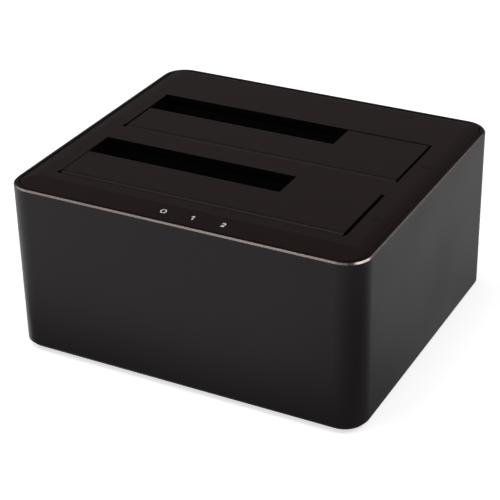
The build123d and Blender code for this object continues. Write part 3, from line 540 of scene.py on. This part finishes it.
# Circuit board
def glass_epoxy_laminate():
    """Glass-epoxy board under green resist: dark green, with paler tracks, tinned pads and a brown edge.

    The tracks are drawn three times as wide as real ones, which are too fine to show.
    """
    track_width = 0.45 * mm
    track_pitch = 1.8 * mm
    track_length = 9.0 * mm
    track_turn = (0.0, 0.0, math.radians(45))
    track_depth = 0.03 * mm
    pad_pitch = 3.2 * mm
    pad_radius = 0.32 * mm
    pad_rim = 0.096 * mm
    face_tilt = 0.5
    material, shader, tree = start_material("glass_epoxy_laminate", "#0d4a27", 0.3)
    place = add(tree, "ShaderNodeTexCoord", "Object")
    turned = add(tree, "ShaderNodeMapping", "Vector", {"Vector": place, "Rotation": track_turn})
    tracks = add(tree, "ShaderNodeTexBrick", "Color", {
        "Vector": turned, "Scale": 1.0, "Color1": "#ffffff", "Color2": "#ffffff", "Mortar": "#000000",
        "Mortar Size": track_width, "Brick Width": track_length, "Row Height": track_pitch,
    })
    away = add(tree, "ShaderNodeTexVoronoi", "Distance", {"Vector": place, "Scale": 1 / pad_pitch})
    pads = add(tree, "ShaderNodeMapRange", "Result", {
        "Value": away, "From Min": pad_radius / pad_pitch, "From Max": (pad_radius + pad_rim) / pad_pitch,
        "To Min": 1.0, "To Max": 0.0,
    }, interpolation_type="SMOOTHSTEP")
    resist = add(
        tree, "ShaderNodeMix", mix_result,
        {mix_share: tracks, mix_first: "#1d7a40", mix_second: "#0c4524"}, data_type="RGBA",
    )
    green = add(
        tree, "ShaderNodeMix", mix_result,
        {mix_share: pads, mix_first: resist, mix_second: "#b4b5b0"}, data_type="RGBA",
    )
    facing = add(tree, "ShaderNodeNewGeometry", "Normal")
    up = add(tree, "ShaderNodeSeparateXYZ", "Z", {"Vector": facing})
    upright = add(tree, "ShaderNodeMath", 0, {0: up}, operation="ABSOLUTE")
    face = add(tree, "ShaderNodeMath", 0, {0: upright, 1: face_tilt}, operation="GREATER_THAN")
    edged = add(
        tree, "ShaderNodeMix", mix_result,
        {mix_share: face, mix_first: "#7b6a3d", mix_second: green}, data_type="RGBA",
    )
    raised = add(tree, "ShaderNodeBump", "Normal", {"Height": tracks, "Distance": track_depth})
    wire(shader, {"Base Color": edged, "Normal": raised})
    return material


# The finish of each slot in the record
finish_of_slot = {
    "shell_aluminium": anodised_aluminium,
    "panel_plastic": panel_abs,
    "door_plastic": door_abs,
    "base_plastic": tray_abs,
    "cage_plastic": cage_abs,
    "socket_plastic": socket_nylon,
    "gold_contact": gold_plate,
    "pin_steel": drawn_pin_steel,
    "spring_steel": spring_wire,
    "port_steel": port_tinplate,
    "port_plastic": port_nylon,
    "jack_metal": jack_nickel,
    "switch_plastic": switch_nylon,
    "rocker_plastic": printed_nylon,
    "lead_sleeve": lead_pvc,
    "clear_guide": filled_acrylic,
    "lamp_lens": lamp_epoxy,
    "board_laminate": glass_epoxy_laminate,
    "chip_mould": chip_epoxy,
    "capacitor_can": capacitor_can,
    "ferrite": sintered_ferrite,
    "crystal_can": crystal_nickel,
    "screw_steel": screw_zinc,
    "foot_rubber": moulded_rubber,
}


def finish_nodes():
    """Gives every CAD node the finish of its slot, and returns the finishes by slot."""
    finishes = {slot: make() for slot, make in finish_of_slot.items()}
    for row in frame["record"]["subparts"]:
        piece = frame["nodes"][row["node"]]
        piece.data.materials.clear()
        piece.data.materials.append(finishes[row["material_slot"]])
    return finishes


# Door springs
wire_radius = 0.175 * mm
wire_roundness = 3
coil_turns = 8
points_per_turn = 24


def spring_points(low, high, axis_y, axis_z):
    """The wire's line: the fixed leg, whole turns round the pin, and the door's leg."""
    radius = axis_z - low.z - wire_radius
    left = low.x + wire_radius
    right = high.x - wire_radius
    points = [(left, low.y, axis_z - radius), (left, axis_y - radius, axis_z - radius)]
    count = coil_turns * points_per_turn
    for step in range(count + 1):
        angle = math.tau * step / points_per_turn - math.pi / 2
        x = left + (right - left) * step / count
        points.append((x, axis_y + radius * math.cos(angle), axis_z + radius * math.sin(angle)))
    points += [(right, axis_y + radius, axis_z - radius), (right, high.y, axis_z - radius)]
    return points


def round_wire(name, points):
    """A round wire through the points, as a smooth mesh."""
    curve = bpy.data.curves.new(name, "CURVE")
    curve.dimensions = "3D"
    curve.bevel_depth = wire_radius
    curve.bevel_resolution = wire_roundness
    curve.use_fill_caps = True
    line = curve.splines.new("POLY")
    line.points.add(len(points) - 1)
    for point, place in zip(line.points, points):
        point.co = (*place, 1.0)
    holder = bpy.data.objects.new(name + "_curve", curve)
    bpy.context.scene.collection.objects.link(holder)
    bpy.context.view_layer.update()
    mesh = bpy.data.meshes.new_from_object(holder.evaluated_get(bpy.context.evaluated_depsgraph_get()))
    bpy.data.objects.remove(holder)
    made = bpy.data.objects.new(name, mesh)
    bpy.context.scene.collection.objects.link(made)
    for polygon in mesh.polygons:
        polygon.use_smooth = True
    return made


def door_spring(bay, finish):
    """The wound spring of one door, round its pin, in the shape it has while the door is closed."""
    node = "door_spring_" + bay
    low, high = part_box(node)
    hinge = next(joint for joint in frame["joints"] if joint["child"] == "door_" + bay + "_body")
    axis_y, axis_z = hinge["pos_m"][1:]
    spring = round_wire("wound_spring_" + bay, spring_points(low, high, axis_y, axis_z))
    spring.data.materials.clear()
    spring.data.materials.append(finish)
    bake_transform(spring)
    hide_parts(node)


# Studio
floor_half_width = 6.0
floor_glow = 0.65
front_left_shade = 1.2

# A spot of painted shade on the floor, seen only in reflections, where the front right corner mirrors it and so
# looks darker
dark_spot_place = (120 * mm, -82 * mm, 0.0)

# Brightness of the walls, by the sine of the elevation
wall_light = [(0.0, 0.1), (0.45, 0.4), (0.62, 0.06), (1.0, 0.04)]


def reflected_shade(tree, place, in_reflection):
    """Painted shade and light on the floor that only reflections see, where each side of the dock mirrors its own
    part of it.

    It is one for every ray that isn't a reflection.
    """
    across = add(tree, "ShaderNodeSeparateXYZ", "X", {"Vector": place})
    along = across.node.outputs["Y"]
    from_spot = add(
        tree, "ShaderNodeVectorMath", "Value", {0: place, 1: dark_spot_place}, operation="DISTANCE",
    )
    # Each soft step: what it follows, where it starts and ends, and its value at both
    steps = {
        "front": (along, shell_low.y - 45 * mm, shell_low.y, 1.0, 0.2),
        "front_left": (across, shell_low.x - 50 * mm, shell_low.x - 20 * mm, 1.0, 0.0),
        "right": (across, shell_high.x, shell_high.x + 40 * mm, 0.51, 0.58),
        "left": (along, shell_high.y - 20 * mm, shell_high.y + 80 * mm, 1.0, 0.1),
        "spot": (from_spot, 30 * mm, 118 * mm, 0.12, 1.0),
    }
    shades = {}
    for name, (value, start, end, low, high) in steps.items():
        shades[name] = add(tree, "ShaderNodeMapRange", "Result", {
            "Value": value, "From Min": start, "From Max": end, "To Min": low, "To Max": high,
        }, interpolation_type="SMOOTHSTEP")
    is_right = add(tree, "ShaderNodeMath", 0, {0: across, 1: 0.0}, operation="GREATER_THAN")
    is_beside = add(tree, "ShaderNodeMath", 0, {0: along, 1: shell_low.y}, operation="GREATER_THAN")
    ahead = add(tree, "ShaderNodeMix", "Result", {
        "Factor": shades["front_left"], "A": shades["front"], "B": front_left_shade,
    })
    beside = add(tree, "ShaderNodeMix", "Result", {
        "Factor": is_right, "A": shades["left"], "B": shades["right"],
    })
    around = add(tree, "ShaderNodeMix", "Result", {"Factor": is_beside, "A": ahead, "B": beside})
    spotted = add(tree, "ShaderNodeMath", 0, {0: around, 1: shades["spot"]}, operation="MULTIPLY")
    return add(tree, "ShaderNodeMix", "Result", {"Factor": in_reflection, "A": 1.0, "B": spotted})


def studio_floor():
    """A pale floor that shows white and keeps the object's shadow."""
    half = floor_half_width
    mesh = bpy.data.meshes.new("studio_floor")
    corners = [(-half, -half, 0.0), (half, -half, 0.0), (half, half, 0.0), (-half, half, 0.0)]
    mesh.from_pydata(corners, [], [(0, 1, 2, 3)])
    floor = bpy.data.objects.new("studio_floor", mesh)
    bpy.context.scene.collection.objects.link(floor)
    material, shader, tree = start_material("matt_paper", "#e6e6e6", 0.9)
    place = add(tree, "ShaderNodeTexCoord", "Object")
    seen = add(tree, "ShaderNodeLightPath", "Is Camera Ray")
    in_reflection = seen.node.outputs["Is Glossy Ray"]
    through_glass = seen.node.outputs["Is Transmission Ray"]
    shade = reflected_shade(tree, place, in_reflection)
    direct = add(tree, "ShaderNodeMath", 0, {0: seen, 1: in_reflection}, operation="ADD")
    shown = add(tree, "ShaderNodeMath", 0, {0: direct, 1: through_glass}, operation="ADD", use_clamp=True)
    lit = add(tree, "ShaderNodeMath", 0, {0: shown, 1: shade}, operation="MULTIPLY")
    glow = add(tree, "ShaderNodeMath", 0, {0: lit, 1: floor_glow}, operation="MULTIPLY")
    pale = add(
        tree, "ShaderNodeMix", mix_result,
        {mix_share: shade, mix_first: "#000000", mix_second: "#e6e6e6"}, data_type="RGBA",
    )
    wire(shader, {"Base Color": pale, "Emission Strength": glow})
    wire(shader, {"Emission Color": "#ffffff", "Specular IOR Level": 0.0})
    mesh.materials.append(material)


def studio_world():
    """Pale walls that grow dim toward the ceiling and toward the right."""
    world = bpy.data.worlds.new("studio")
    world.use_nodes = True
    bpy.context.scene.world = world
    tree = world.node_tree
    direction = add(tree, "ShaderNodeTexCoord", "Generated")
    height = add(tree, "ShaderNodeSeparateXYZ", "Z", {"Vector": direction})
    across = height.node.outputs["X"]
    walls = add(tree, "ShaderNodeValToRGB", "Color", {"Fac": height})
    stops = walls.node.color_ramp.elements
    while len(stops) < len(wall_light):
        stops.new(0.5)
    for stop, (position, value) in zip(stops, wall_light):
        stop.position = position
        stop.color = (value, value, value, 1.0)
    strength = add(tree, "ShaderNodeMapRange", "Result", {
        "Value": across, "From Min": -0.35, "From Max": 0.3, "To Min": 1.0, "To Max": 0.35,
    }, interpolation_type="SMOOTHSTEP")
    wire(tree.nodes["Background"], {"Color": walls, "Strength": strength})


def softbox(name, direction, distance, width, depth, power):
    """A lamp that faces the dock from a direction. Sizes are metres, and power is watts."""
    data = bpy.data.lights.new(name, "AREA")
    data.shape = "RECTANGLE"
    data.size = width
    data.size_y = depth
    data.energy = power
    lamp = bpy.data.objects.new(name, data)
    aim = Vector((0.0, 0.0, rim_top))
    lamp.location = aim + Vector(direction).normalized() * distance
    lamp.rotation_euler = (lamp.location - aim).to_track_quat("Z", "Y").to_euler()
    bpy.context.scene.collection.objects.link(lamp)


def light_chamfer():
    """Softboxes that the chamfer mirrors, from its left corner round the front to its right side."""
    softbox("side_softbox", (-0.79, -0.2, 0.58), distance=1.2, width=0.7, depth=0.7, power=0.75)
    softbox("front_softbox", (-0.53, -0.46, 0.74), distance=1.2, width=0.75, depth=0.6, power=0.86)
    softbox("bridge_softbox", (0.05, -0.48, 0.88), distance=1.2, width=0.6, depth=0.6, power=0.5)
    softbox("key_softbox", (0.6, 0.05, 0.8), distance=1.2, width=0.6, depth=0.6, power=3.7)
    softbox("corner_softbox", (0.67, 0.46, 0.585), distance=1.2, width=0.36, depth=0.36, power=1.25)
    softbox("rim_softbox", (0.467, 0.784, 0.411), distance=1.5, width=0.6, depth=0.6, power=0.3)


def light_faces():
    """Softboxes for the top and the front face."""
    softbox("top_softbox", (-0.3, -0.12, 0.94), distance=1.5, width=0.9, depth=0.9, power=8.0)
    softbox("fill_softbox", (0.3, -0.85, 0.45), distance=1.6, width=1.2, depth=1.2, power=2.8)


def build_scene():
    """Camera, finishes, springs and studio."""
    set_camera()
    finishes = finish_nodes()
    for bay in ("front", "rear"):
        door_spring(bay, finishes["spring_steel"])
    studio_floor()
    studio_world()
    light_chamfer()
    light_faces()
    bpy.context.scene.view_settings.view_transform = "Standard"


build_scene()
